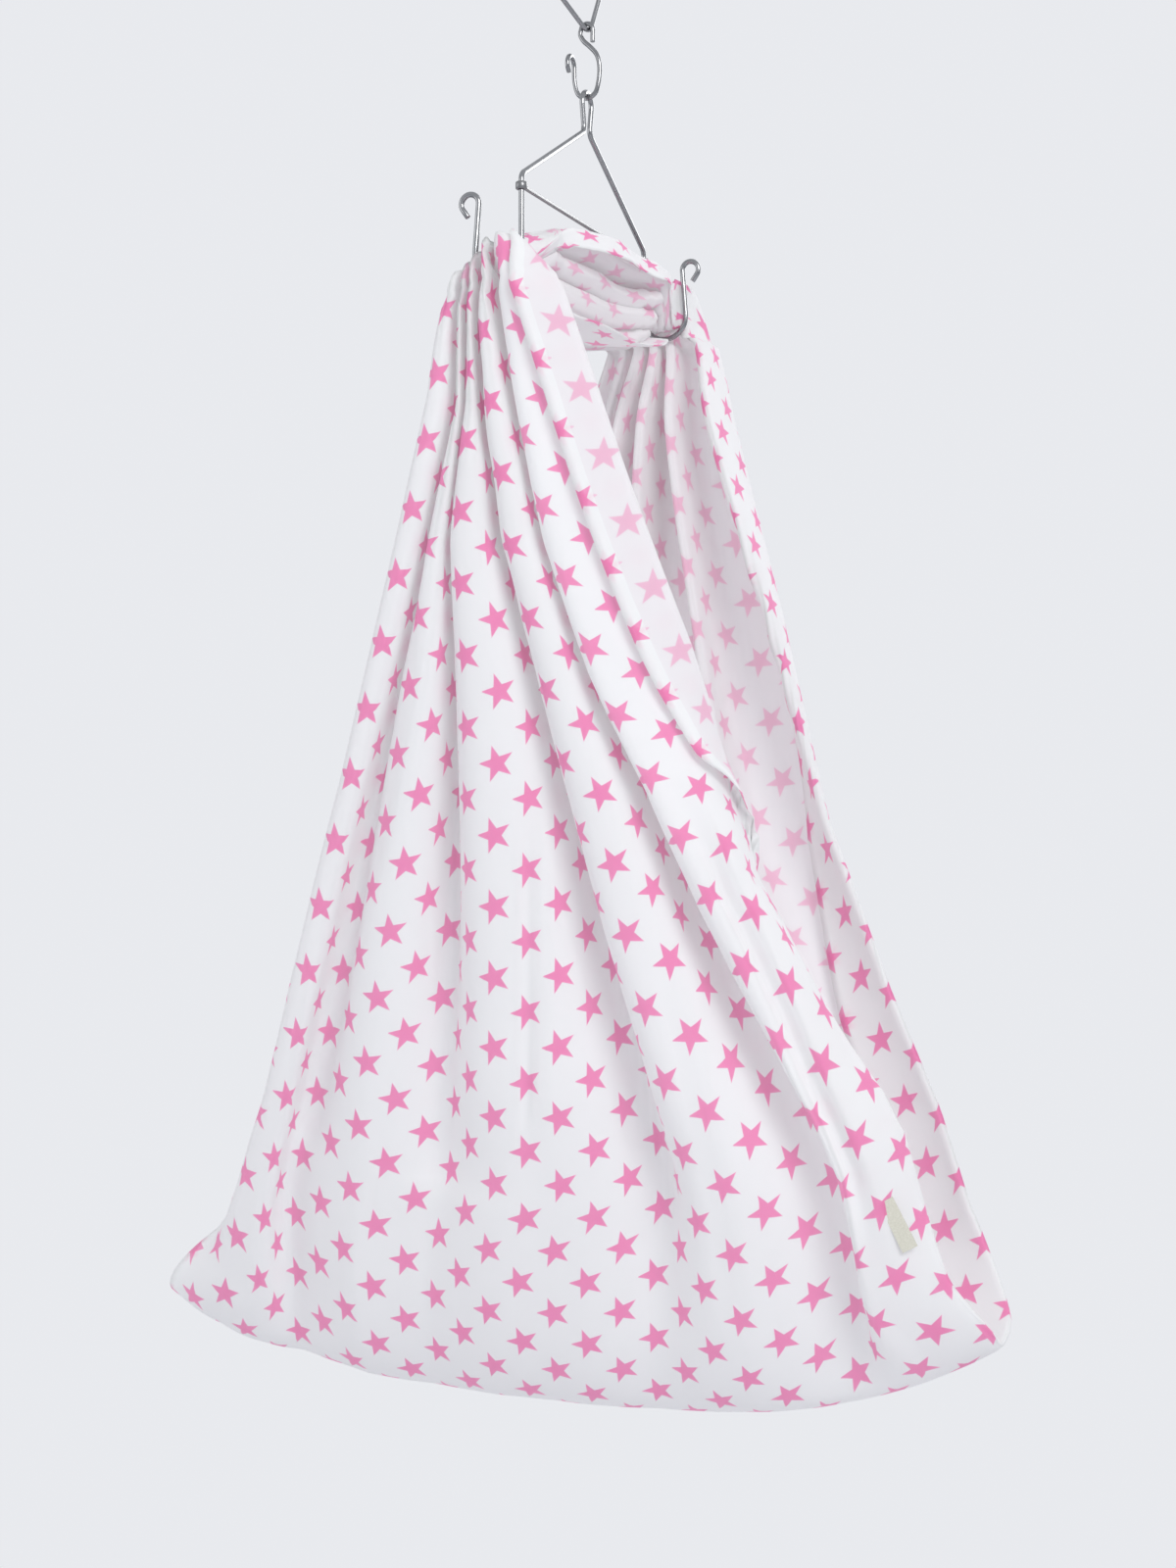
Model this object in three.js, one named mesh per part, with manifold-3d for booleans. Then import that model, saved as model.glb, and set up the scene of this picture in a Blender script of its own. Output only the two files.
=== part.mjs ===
// A hanging baby cradle: a tube of printed cotton hung over the two hooks of a bent wire hanger,
// which hangs by its eye on an S-hook, and that on a triangular wire link.
// Millimetres, +Z up. The origin is on the link's top bar, where the cradle is held up.
// X runs along the cradle, from end to end, and Y from the near hook to the far hook.
import * as THREE from 'three';
import { mergeVertices } from 'three/addons/utils/BufferGeometryUtils.js';
import Module from 'manifold-3d';

// Driving sizes
const clearance = 0.3;            // between pieces that rest on each other
const bendStep = 15;              // degrees of a wire bend in one facet
const wireSides = 12;

const link = {
  wire: 4.4,                      // wire diameter
  height: 38,                     // from the bottom of the bend to the top bar, on centrelines
  nearSlope: 53.4,                // degrees of the near strand from the vertical
  farSlope: 19.6,                 // and of the far strand
  bend: 6,                        // bend radius at the bottom
  corner: 7,                      // bend radius at the two upper corners
  heading: 65,                    // degrees of the link's plane from X
  crossing: 0.6,                  // extra room, because the S-hook crosses the link askew
};

const sHook = {
  wire: 4.4,
  height: 67,                     // top bight to bottom bight, on centrelines
  topRadius: 5.6,
  topTip: 11.4,                   // straight tip beside the top bight
  bellyHalf: 12.2,                // half the width of the big hook
  curlRadius: 8.1,
  curlLevel: 28.7,                // the curl's centre above the bottom bight
  curlTurn: 262,                  // degrees
  steps: 84,
};
// The S-hook's back and belly, as shares of its half width and its height, from the bottom bight
const backShares = [
  [-0.52, 0.865],
  [-0.27, 0.776],
  [0.18, 0.697],
  [0.74, 0.582],
  [0.98, 0.448],
  [0.95, 0.231],
  [0.65, 0.06],
  [0, 0],
  [-0.65, 0.06],
  [-0.95, 0.231],
];

const hanger = {
  wire: 5,
  span: 298,                      // between the two posts
  eyeRise: 120,                   // from the cross bar up to the top of the eye
  eyeHalf: 13.5,                  // half width of the eye's sharp-cornered outline at its top
  eyeRadius: 10.8,
  neckHalf: 6,
  neckRise: 84,                   // above the cross bar
  neckRadius: 8,
  shoulderRise: 10,               // the corner where arm and post meet, above the cross bar
  shoulderRadius: 9,
  postDrop: 75.6,                 // from the cross bar down to the bottom of the U
  hookRadius: 21.2,
  hookLean: 4.6,                  // degrees that the open leg leans in towards the post
  legTop: 3,                      // the top of the curl below the cross bar
  curlRadius: 8,
  curlFall: 35,                   // degrees that the curl turns in past the vertical
  curlTip: 10.4,                  // from the last corner to the wire's end
};

const crossBar = {
  wire: 4,
  eyeWall: 2.2,                   // the flattened eye that is closed round each post
  eyeHeight: 6.4,
  eyeSoftness: 0.7,               // the bevel at the eye's outer edges
  eyeSides: 24,
};

const cloth = {
  halfWidth: 404,                 // half the cradle's length at the seat
  depth: 968,                     // from the bottom of the U down to the middle of the seat
  thickness: 5,
  foldDepth: 98,                  // the deepest valley between two pipes
  ridgeOut: 22,                   // the ridges outside the line that the loop hangs in
  leftLift: 62,                   // how much higher the seat is at its left end
  rightLift: 87,                  // and at its right end
  liftPower: 3,
  bundleHalf: 16,                 // half the bundle's width on the wire
  bundleTopHalf: 14.8,            // and at its top, where the leg leans in
  bundleSide: 33,                 // and where it comes out past the legs
  bundleInner: 5,                 // inner radius where the bundle comes round the wire
  ridge: 2.2,                     // half depth of the pleats on the bundle
};
// The top of each bundle, below the cross bar
const bundleTop = { near: 37, far: 19 };
// The bridge of gathered cloth between the hooks: at its middle and half way to a hook
const bridge = {
  wall: 26,
  middle: { placeShare: 0, top: 4.5, halfHeight: 60, halfWidth: 44, wrap: 128 },
  quarter: { placeShare: 0.5, top: 9, halfHeight: 48, halfWidth: 37, wrap: 112 },
};

// The cloth hangs in pipes, and a pipe has a column at each mouth, each shoulder and its ridge
const pipes = 5;
const pipeShares = [0, 0.2, 0.5, 0.8];
const pipeDepthShares = [1, 0.14, 0, 0.14];
// The levels of the panels' rows, from the seat up, as shares of the fall from the hook
const fallShares = [1, 0.96, 0.9, 0.82, 0.73, 0.6, 0.46, 0.31, 0.17, 0.06];
// How far the folds have opened at each level
const openShares = [1, 1, 1, 0.95, 0.88, 0.7, 0.48, 0.36, 0.3, 0.28];
// At each level: half the row's width, its middle's place, how far its ridges stand out, where its
// four valleys open, and how deep its two edges and the valleys between them are
const nearShares = {
  half: [1, 0.96, 0.88, 0.78, 0.66, 0.52, 0.4, 0.31, 0.21, 0.14],
  middle: [-1.04, -0.58, 0.28, 0.53, 0.47, 0.01, -0.23, 0.07, -0.04, -0.14],
  out: [0.45, 0.47, 0.54, 0.69, 0.86, 1, 1, 1, 0.98, 0.7],
  mouths: [
    [-0.76, -0.41, 0.09, 0.59], [-0.76, -0.39, 0.13, 0.63],
    [-0.77, -0.36, 0.19, 0.7], [-0.78, -0.34, 0.23, 0.7],
    [-0.79, -0.35, 0.25, 0.68], [-0.81, -0.38, 0.25, 0.66],
    [-0.81, -0.42, 0.17, 0.56], [-0.8, -0.48, -0.01, 0.32],
    [-0.68, -0.43, -0.07, 0.2], [-0.62, -0.36, -0.05, 0.23],
  ],
  depths: [
    [0.12, 0.09, 0.16, 0.13, 0.09, 0.03], [0.18, 0.11, 0.15, 0.2, 0.4, 0.08],
    [0.25, 0.12, 0.1, 0.3, 0.62, 0.19], [0.29, 0.2, 0.31, 0.49, 0.76, 0.29],
    [0.33, 0.28, 0.47, 0.61, 0.83, 0.34], [0.37, 0.37, 0.6, 0.72, 0.88, 0.41],
    [0.38, 0.43, 0.7, 0.8, 0.92, 0.46], [0.39, 0.47, 0.77, 0.88, 0.93, 0.47],
    [0.39, 0.5, 0.83, 0.92, 0.95, 0.56], [0.4, 0.48, 0.69, 0.73, 0.74, 0.55],
  ],
};
const farShares = {
  half: [1, 0.95, 0.85, 0.76, 0.66, 0.54, 0.43, 0.34, 0.24, 0.16],
  middle: [-1.04, -0.81, -0.38, -0.1, 0.04, 0.07, 0.1, 0.23, 0.24, 0.2],
  out: [0.45, 0.47, 0.54, 0.69, 0.86, 1, 1, 1, 1.03, 1.34],
  mouths: [
    [-0.76, -0.41, 0.09, 0.59], [-0.76, -0.41, 0.09, 0.59],
    [-0.76, -0.41, 0.09, 0.59], [-0.76, -0.41, 0.09, 0.58],
    [-0.75, -0.41, 0.08, 0.57], [-0.74, -0.41, 0.07, 0.55],
    [-0.73, -0.41, 0.05, 0.52], [-0.7, -0.4, 0.02, 0.48],
    [-0.67, -0.36, 0.03, 0.44], [-0.64, -0.32, 0.05, 0.4],
  ],
  depths: [
    [0.12, 0.08, 0.15, 0.12, 0.09, 0.02], [0.18, 0.14, 0.29, 0.29, 0.29, 0.07],
    [0.24, 0.21, 0.44, 0.45, 0.52, 0.16], [0.27, 0.27, 0.53, 0.56, 0.63, 0.23],
    [0.29, 0.32, 0.6, 0.65, 0.71, 0.3], [0.32, 0.38, 0.67, 0.73, 0.79, 0.36],
    [0.33, 0.42, 0.72, 0.78, 0.85, 0.49], [0.35, 0.45, 0.77, 0.84, 0.89, 0.7],
    [0.38, 0.48, 0.81, 0.9, 0.93, 0.86], [0.4, 0.47, 0.72, 0.78, 0.79, 0.76],
  ],
};
// The bare woven label, sewn flat to the inside of the near panel beside its hem
const label = {
  width: 14,
  length: 46,
  thickness: 0.8,
  offCloth: 0.6,                  // its back clears the cloth's facets
  row: 2,                         // the panel row below it, counted from the seat
  fromHem: 2,                     // columns in from the hem
};

// Places that follow from the sizes
const seat = (a, b) => (a + b) / 2 + clearance;
const sTop = -link.height + seat(link.wire, sHook.wire) + link.crossing;
const sBottom = sTop - sHook.height;
const eyeTop = sBottom + seat(sHook.wire, hanger.wire);
const barLevel = eyeTop - hanger.eyeRise;
const hookBottom = barLevel - hanger.postDrop;
const hookY = hanger.span / 2;

const radians = THREE.MathUtils.degToRad;
const vec = (x, y, z) => new THREE.Vector3(x, y, z);

// Finishes
const steel = (name) => new THREE.MeshStandardMaterial({ name, color: 0xc9cccf, roughness: 0.22, metalness: 1 });
const cotton = () => new THREE.MeshStandardMaterial({ name: 'cotton', color: 0xf1eff2, roughness: 0.9 });
const woven = () => new THREE.MeshStandardMaterial({ name: 'woven label', color: 0xe6e4da, roughness: 0.85 });

const model = new THREE.Group();
model.name = 'hanging_cradle';

function add(name, geometry, material) {
  const mesh = new THREE.Mesh(geometry, material);
  mesh.name = name;
  model.add(mesh);
}

// A wire's centreline as points: straights take one step, and bends one step for every few degrees
class WirePath extends THREE.Curve {
  constructor(points) {
    super();
    this.points = points;
  }

  getPoint(t, target = vec(0, 0, 0)) {
    const place = t * (this.points.length - 1);
    const from = Math.min(Math.floor(place), this.points.length - 2);
    return target.lerpVectors(this.points[from], this.points[from + 1], place - from);
  }

  getUtoTmapping(u) {
    return u;
  }
}

// The arc that rounds one corner of a path
function bendPoints(before, corner, after, radius) {
  const back = before.clone().sub(corner).normalize();
  const onward = after.clone().sub(corner).normalize();
  const turn = Math.PI - back.angleTo(onward);
  const reach = radius * Math.tan(turn / 2);
  const centre = back.clone().add(onward).normalize().multiplyScalar(Math.hypot(radius, reach)).add(corner);
  const start = back.clone().multiplyScalar(reach).add(corner).sub(centre);
  const axis = onward.clone().cross(back).normalize();
  const steps = Math.max(2, Math.ceil(turn / radians(bendStep)));
  const points = [];
  for (let i = 0; i <= steps; i += 1) {
    points.push(start.clone().applyAxisAngle(axis, (turn * i) / steps).add(centre));
  }
  return points;
}

// Corners are [point, bend radius], and a path's two ends have no radius
function roundedPath(corners) {
  const points = [corners[0][0]];
  for (let i = 1; i < corners.length - 1; i += 1) {
    points.push(...bendPoints(corners[i - 1][0], corners[i][0], corners[i + 1][0], corners[i][1]));
  }
  points.push(corners[corners.length - 1][0]);
  return points;
}

function circle(radius, sides) {
  const shape = new THREE.Shape();
  for (let i = 0; i < sides; i += 1) {
    const angle = (2 * Math.PI * i) / sides;
    const place = [radius * Math.cos(angle), radius * Math.sin(angle)];
    if (i === 0) shape.moveTo(...place);
    else shape.lineTo(...place);
  }
  return shape;
}

function wire(path, steps, diameter) {
  return new THREE.ExtrudeGeometry(circle(diameter / 2, wireSides), {
    steps,
    extrudePath: path,
    bevelEnabled: false,
    curveSegments: 1,
  });
}

function bareGeometry(points, faces) {
  const geometry = new THREE.BufferGeometry();
  geometry.setAttribute('position', new THREE.Float32BufferAttribute(points.flatMap((p) => [p.x, p.y, p.z]), 3));
  geometry.setIndex(faces);
  return geometry;
}

// A closed ring of wire in the plane across `normal`
function closedWire(loop, normal, diameter) {
  const points = [];
  const faces = [];
  const count = loop.length;
  loop.forEach((point, i) => {
    const along = loop[(i + 1) % count].clone().sub(loop[(i + count - 1) % count]).normalize();
    const side = along.clone().cross(normal);
    for (let k = 0; k < wireSides; k += 1) {
      const angle = (2 * Math.PI * k) / wireSides;
      points.push(point.clone()
        .addScaledVector(normal, (diameter / 2) * Math.cos(angle))
        .addScaledVector(side, (diameter / 2) * Math.sin(angle)));
      const next = (k + 1) % wireSides;
      const a = i * wireSides + k;
      const b = i * wireSides + next;
      const c = ((i + 1) % count) * wireSides + k;
      const d = ((i + 1) % count) * wireSides + next;
      faces.push(a, b, c, b, d, c);
    }
  });
  return bareGeometry(points, faces);
}

// The triangular link, whose bottom bend the S-hook rides on
function linkGeometry() {
  const heading = vec(Math.cos(radians(link.heading)), Math.sin(radians(link.heading)), 0);
  const up = vec(0, 0, 1);
  const place = (along, height) => heading.clone().multiplyScalar(along).addScaledVector(up, height - link.height);
  const near = radians(link.nearSlope);
  const far = radians(link.farSlope);
  // The two strands meet below the bend, at the foot of the sharp-cornered triangle
  const rise = (angle) => link.bend * (1 - 1 / Math.sin(angle));
  const nearAt = (height) => -(height - rise(near)) * Math.tan(near);
  const farAt = (height) => (height - rise(far)) * Math.tan(far);
  const foot = (rise(near) * Math.tan(near) + rise(far) * Math.tan(far)) / (Math.tan(near) + Math.tan(far));
  const corners = [
    [place(nearAt(foot), foot), link.bend],
    [place(farAt(link.height), link.height), link.corner],
    [place(nearAt(link.height), link.height), link.corner],
  ];
  const loop = corners.flatMap(([corner, radius], i) => {
    const before = corners[(i + corners.length - 1) % corners.length][0];
    const after = corners[(i + 1) % corners.length][0];
    return bendPoints(before, corner, after, radius);
  });
  return closedWire(loop, heading.clone().cross(up), link.wire);
}

// The S-hook lies in the X-Z plane, and its safety curl stands across it
function sHookGeometry() {
  const points = [];
  const topCentre = sTop - sHook.topRadius;
  points.push(vec(sHook.topRadius, 0, topCentre - sHook.topTip));
  points.push(vec(sHook.topRadius, 0, topCentre - sHook.topTip / 2));
  for (let angle = 0; angle <= 180; angle += 2 * bendStep) {
    const turn = radians(angle);
    points.push(vec(sHook.topRadius * Math.cos(turn), 0, topCentre + sHook.topRadius * Math.sin(turn)));
  }
  for (const [side, rise] of backShares) {
    points.push(vec(side * sHook.bellyHalf, 0, sBottom + rise * sHook.height));
  }
  for (let angle = 0; angle <= sHook.curlTurn; angle += 2 * bendStep) {
    const turn = radians(angle);
    const y = -sHook.curlRadius * (1 - Math.cos(turn));
    points.push(vec(-sHook.bellyHalf, y, sBottom + sHook.curlLevel + sHook.curlRadius * Math.sin(turn)));
  }
  return wire(new THREE.CatmullRomCurve3(points, false, 'centripetal'), sHook.steps, sHook.wire);
}

// One half of the hanger's wire, from the top of the eye to the end of a hook's curl.
// side is -1 for the near half and 1 for the far half, which is the near one turned half round.
function hangerHalf(side) {
  const lean = radians(hanger.hookLean);
  const legFoot = hanger.hookRadius * (1 + Math.tan((Math.PI / 2 + lean) / 2));
  const curlTop = barLevel - hanger.legTop;
  const legHead = legFoot - (curlTop - hookBottom) * Math.tan(lean);
  const curlOut = legHead + hanger.curlRadius * (1 + Math.tan((Math.PI / 2 + lean) / 2));
  const fall = radians(hanger.curlFall);
  const lastCorner = curlTop - hanger.curlRadius * (1 + Math.tan(fall / 2));
  const across = (y, z) => vec(0, side * y, z);
  const out = (x, z) => vec(side * x, side * hookY, z);
  return [
    [across(0, eyeTop), 0],
    [across(hanger.eyeHalf, eyeTop), hanger.eyeRadius],
    [across(hanger.neckHalf, barLevel + hanger.neckRise), hanger.neckRadius],
    [across(hookY, barLevel + hanger.shoulderRise), hanger.shoulderRadius],
    [out(0, hookBottom), hanger.hookRadius],
    [out(legFoot, hookBottom), hanger.hookRadius],
    [out(legHead, curlTop), hanger.curlRadius],
    [out(curlOut, curlTop), hanger.curlRadius],
    [out(curlOut, lastCorner), hanger.curlRadius],
    [out(curlOut - hanger.curlTip * Math.sin(fall), lastCorner - hanger.curlTip * Math.cos(fall)), 0],
  ];
}

function hangerGeometry() {
  const near = roundedPath(hangerHalf(-1)).reverse();
  const far = roundedPath(hangerHalf(1)).slice(1);
  const points = near.concat(far);
  return wire(new WirePath(points), points.length - 1, hanger.wire);
}

const wasm = await Module();
wasm.setup();

function solid(geometry) {
  const bare = geometry.clone();
  bare.deleteAttribute('normal');
  bare.deleteAttribute('uv');
  const merged = mergeVertices(bare.index ? bare.toNonIndexed() : bare);
  return new wasm.Manifold(new wasm.Mesh({
    numProp: 3,
    vertProperties: new Float32Array(merged.attributes.position.array),
    triVerts: new Uint32Array(merged.index.array),
  }));
}

function meshOf(manifold) {
  const mesh = manifold.getMesh();
  const geometry = new THREE.BufferGeometry();
  geometry.setAttribute('position', new THREE.BufferAttribute(mesh.vertProperties, 3));
  geometry.setIndex(new THREE.BufferAttribute(mesh.triVerts, 1));
  return geometry;
}

// The flattened eye at each end of the cross bar, closed round its post
function barEye(y) {
  const inner = hanger.wire / 2 + clearance;
  const outer = inner + crossBar.eyeWall;
  const half = crossBar.eyeHeight / 2;
  const soft = crossBar.eyeSoftness;
  const profile = [
    new THREE.Vector2(inner, -half),
    new THREE.Vector2(outer - soft, -half),
    new THREE.Vector2(outer, -half + soft),
    new THREE.Vector2(outer, half - soft),
    new THREE.Vector2(outer - soft, half),
    new THREE.Vector2(inner, half),
    new THREE.Vector2(inner, -half),
  ];
  const eye = new THREE.LatheGeometry(profile, crossBar.eyeSides);
  eye.rotateX(Math.PI / 2);
  eye.translate(0, y, barLevel);
  return solid(eye);
}

function crossBarGeometry() {
  const inner = hanger.wire / 2 + clearance;
  const reach = hanger.span - 2 * (inner + crossBar.eyeWall / 2);
  const bar = new THREE.CylinderGeometry(crossBar.wire / 2, crossBar.wire / 2, reach, wireSides);
  bar.translate(0, 0, barLevel);
  return meshOf(solid(bar).add(barEye(-hookY)).add(barEye(hookY)));
}

// The cloth is a grid: rows run across its width and follow each other round the loop, and each
// row has an outer and an inner line
const perPipe = pipeShares.length;
const columns = pipes * perPipe + 1;
const shareAt = (column) => (2 * column) / (columns - 1) - 1;
const foldAt = (column) => Math.cos((2 * Math.PI * column) / perPipe);
const hookCentre = hanger.hookRadius;
const bundleHigh = hanger.postDrop - (bundleTop.near + bundleTop.far) / 2;
const bundleMiddle = hanger.wire / 2 + clearance + bundleHigh / 2;
const panelReach = hookY + bundleMiddle;

// The sag of a hanging loop: its bottom radius is the one whose sides come up at the hooks
function sagRadius() {
  let low = 0;
  let high = cloth.depth;
  for (let i = 0; i < 60; i += 1) {
    const middle = (low + high) / 2;
    if (middle * Math.acosh(1 + cloth.depth / middle) < panelReach) low = middle;
    else high = middle;
  }
  return (low + high) / 2;
}
const sag = sagRadius();

// The place and depth of a column in a row of pipes, as shares of the row's half width and of the
// deepest fold. The mouth is the valley that the column belongs to.
function pipeAt(shares, level, column) {
  const pipe = Math.min(Math.floor(column / perPipe), pipes - 1);
  const step = column - pipe * perPipe;
  const along = step < perPipe ? pipeShares[step] : 1;
  const deep = step < perPipe ? pipeDepthShares[step] : 1;
  const marks = [-1, ...shares.mouths[level], 1];
  const mouth = shares.depths[level][along < 0.5 ? pipe : pipe + 1];
  return { place: marks[pipe] + along * (marks[pipe + 1] - marks[pipe]), deep: deep * mouth, mouth };
}

// A row of a hanging panel. Where the folds are closed the solid fills them, but for the share of
// their depth that is open.
function panelRow(side, shares, level) {
  const fall = fallShares[level];
  const open = openShares[level];
  const height = cloth.depth * (1 - fall);
  const slope = Math.acos(sag / (sag + height));
  const out = sag * Math.acosh(1 + height / sag);
  const normal = vec(0, side * Math.sin(slope), -Math.cos(slope));
  const line = (filled) => (column) => {
    const { place, deep, mouth } = pipeAt(shares, level, column);
    const endLift = place < 0 ? cloth.leftLift : cloth.rightLift;
    const drop = fall * (cloth.depth - endLift * Math.abs(place) ** cloth.liftPower);
    const depth = open * deep + filled * (1 - open) * mouth;
    const push = shares.out[level] * cloth.ridgeOut - depth * cloth.foldDepth - filled * cloth.thickness;
    const across = shares.middle[level] * hookCentre + shares.half[level] * cloth.halfWidth * place;
    return vec(across, side * out, hookBottom - drop).addScaledVector(normal, push);
  };
  return { outer: line(0), inner: line(1) };
}

// The level in the U of a circle about the hook's centre, at a distance across from the middle
function hookLevel(across, radius) {
  const inside = Math.min(Math.abs(across), cloth.bundleHalf);
  return hookBottom + hanger.hookRadius - Math.sqrt(Math.max(0, radius ** 2 - inside ** 2));
}

// A row of the bundle where it turns over the wire: 0 degrees is its crest, 90 the panel's start
function turnRow(side, degrees, innerHalf, outerHalf, innerRadius) {
  const turn = radians(degrees);
  const top = barLevel - (side < 0 ? bundleTop.near : bundleTop.far);
  const onWire = (across) => hookLevel(across, hanger.hookRadius);
  const line = (half, outAt, upAt) => (column) => {
    const across = half * shareAt(column);
    const y = side * (hookY + outAt(across, column) * Math.sin(turn));
    return vec(side * hookCentre + across, y, onWire(across) + upAt(across, column) * Math.cos(turn));
  };
  const outer = (across, column) => top - onWire(across) + cloth.ridge * (foldAt(column) - 1);
  const rest = (across) => hookLevel(across, hanger.hookRadius - innerRadius) - onWire(across);
  return { outer: line(outerHalf, outer, outer), inner: line(innerHalf, () => innerRadius, rest) };
}

// A row of the bridge: an arch of pleats over the way between the hooks
function bridgeRow(side, form) {
  const wrap = radians(form.wrap);
  const centre = barLevel - form.top - form.halfHeight;
  const line = (inward, ridge) => (column) => {
    const angle = wrap * shareAt(column);
    const shrink = 1 - (inward - ridge * (foldAt(column) - 1)) / form.halfWidth;
    const across = form.halfWidth * shrink * Math.sin(angle);
    const up = centre + form.halfHeight * shrink * Math.cos(angle);
    return vec(side * form.placeShare * hookCentre + across, side * form.placeShare * hookY, up);
  };
  return { outer: line(0, cloth.ridge), inner: line(bridge.wall, 0) };
}

function sideRows(side, shares) {
  const innerRadius = hanger.wire / 2 + clearance;
  return [
    ...fallShares.slice(1).map((fall, i) => panelRow(side, shares, i + 1)),
    turnRow(side, 90, cloth.bundleSide, cloth.bundleSide, cloth.bundleInner),
    turnRow(side, 45, cloth.bundleHalf, cloth.bundleSide, innerRadius + clearance),
    turnRow(side, 0, cloth.bundleHalf, cloth.bundleTopHalf, innerRadius),
    bridgeRow(side, bridge.quarter),
  ];
}

const clothRows = [
  panelRow(-1, nearShares, 0),
  ...sideRows(-1, nearShares),
  bridgeRow(1, bridge.middle),
  ...sideRows(1, farShares).reverse(),
];

function clothGeometry() {
  const points = [];
  const faces = [];
  const count = clothRows.length;
  for (const row of clothRows) {
    for (let column = 0; column < columns; column += 1) {
      points.push(row.outer(column), row.inner(column));
    }
  }
  const at = (row, column, inner) => 2 * ((row % count) * columns + column) + inner;
  const quad = (a, b, c, d) => faces.push(a, c, b, a, d, c);
  for (let row = 0; row < count; row += 1) {
    for (let column = 0; column < columns - 1; column += 1) {
      quad(at(row, column, 0), at(row + 1, column, 0), at(row + 1, column + 1, 0), at(row, column + 1, 0));
      quad(at(row, column, 1), at(row, column + 1, 1), at(row + 1, column + 1, 1), at(row + 1, column, 1));
    }
    const last = columns - 1;
    quad(at(row, 0, 1), at(row + 1, 0, 1), at(row + 1, 0, 0), at(row, 0, 0));
    quad(at(row, last, 0), at(row + 1, last, 0), at(row + 1, last, 1), at(row, last, 1));
  }
  return bareGeometry(points, faces);
}

// The label's lines lie in one facet cell of the cloth's inner face
function labelGeometry() {
  const column = columns - 1 - label.fromHem;
  const [low, high] = [clothRows[label.row], clothRows[label.row + 1]];
  const sides = [column, column + 1].map((at) => [low.inner(at), high.inner(at)]);
  const cellWidth = sides[0][0].distanceTo(sides[1][0]);
  const cellLength = sides[0][0].distanceTo(sides[0][1]);
  const place = (x, y) => sides[0][0].clone().lerp(sides[0][1], y)
    .lerp(sides[1][0].clone().lerp(sides[1][1], y), x);
  const across = label.width / cellWidth;
  const along = label.length / cellLength;
  const spread = [[-1, -1], [1, -1], [1, 1], [-1, 1]];
  const corners = spread.map(([x, y]) => place((1 + x * across) / 2, (1 + y * along) / 2));
  const edge = corners[1].clone().sub(corners[0]);
  const inward = edge.cross(corners[3].clone().sub(corners[0])).normalize();
  if (inward.dot(low.inner(column).sub(low.outer(column))) < 0) inward.negate();
  const face = (offset) => corners.map((corner) => corner.clone().addScaledVector(inward, offset));
  const points = [...face(label.offCloth), ...face(label.offCloth + label.thickness)];
  const faces = [0, 1, 2, 0, 2, 3, 4, 6, 5, 4, 7, 6];
  for (let i = 0; i < 4; i += 1) {
    const next = (i + 1) % 4;
    faces.push(i, i + 4, next, next, i + 4, next + 4);
  }
  return bareGeometry(points, faces);
}

add('hanging_link', linkGeometry(), steel('link wire'));
add('s_hook', sHookGeometry(), steel('S-hook wire'));
add('hanger_wire', hangerGeometry(), steel('hanger wire'));
add('cross_bar', crossBarGeometry(), steel('bar wire'));
add('cradle_cloth', clothGeometry(), cotton());
add('cloth_label', labelGeometry(), woven());

export default model;
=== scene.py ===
# %% [markdown]
# # A hanging baby cradle
# A tube of thin cotton hangs over the two hooks of a bent wire hanger. Nothing stiffens it, so the whole
# look is in how a 0.86 m wide cloth is gathered into a bundle two fingers wide and fans out again.
# The wires come ready from the frame. This script smooths and plates them, and makes the cloth anew.

# %% Load the frame
import math
import bmesh
import bpy
import numpy as np
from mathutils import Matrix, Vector


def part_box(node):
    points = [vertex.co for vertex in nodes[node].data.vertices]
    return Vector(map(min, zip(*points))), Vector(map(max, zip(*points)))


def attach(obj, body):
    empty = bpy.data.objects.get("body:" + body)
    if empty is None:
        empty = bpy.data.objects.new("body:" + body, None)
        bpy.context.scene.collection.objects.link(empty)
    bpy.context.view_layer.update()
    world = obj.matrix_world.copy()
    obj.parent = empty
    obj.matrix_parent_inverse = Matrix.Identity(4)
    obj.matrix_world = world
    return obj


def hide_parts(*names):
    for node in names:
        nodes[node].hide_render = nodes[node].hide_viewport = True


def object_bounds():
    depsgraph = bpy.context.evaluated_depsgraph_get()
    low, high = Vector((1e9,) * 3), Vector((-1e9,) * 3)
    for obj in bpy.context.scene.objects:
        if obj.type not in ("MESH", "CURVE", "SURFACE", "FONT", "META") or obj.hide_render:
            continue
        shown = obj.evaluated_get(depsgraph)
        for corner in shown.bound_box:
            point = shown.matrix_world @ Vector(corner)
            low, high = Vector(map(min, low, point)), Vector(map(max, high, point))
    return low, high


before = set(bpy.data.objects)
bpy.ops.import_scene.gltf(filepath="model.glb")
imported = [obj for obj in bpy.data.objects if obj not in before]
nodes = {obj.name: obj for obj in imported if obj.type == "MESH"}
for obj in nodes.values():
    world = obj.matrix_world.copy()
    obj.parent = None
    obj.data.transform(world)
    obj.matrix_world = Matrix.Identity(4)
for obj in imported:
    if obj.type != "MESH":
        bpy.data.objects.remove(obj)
cad_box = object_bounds()
scene = bpy.context.scene
MM = 0.001
print("pieces in the frame:", sorted(nodes))

# %% [markdown]
# ## Camera
# The photograph is level: its uprights don't converge, although we look up at the link and down at the
# seat. So the camera is level too, and the long lens takes the cradle in from about two metres away.

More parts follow.
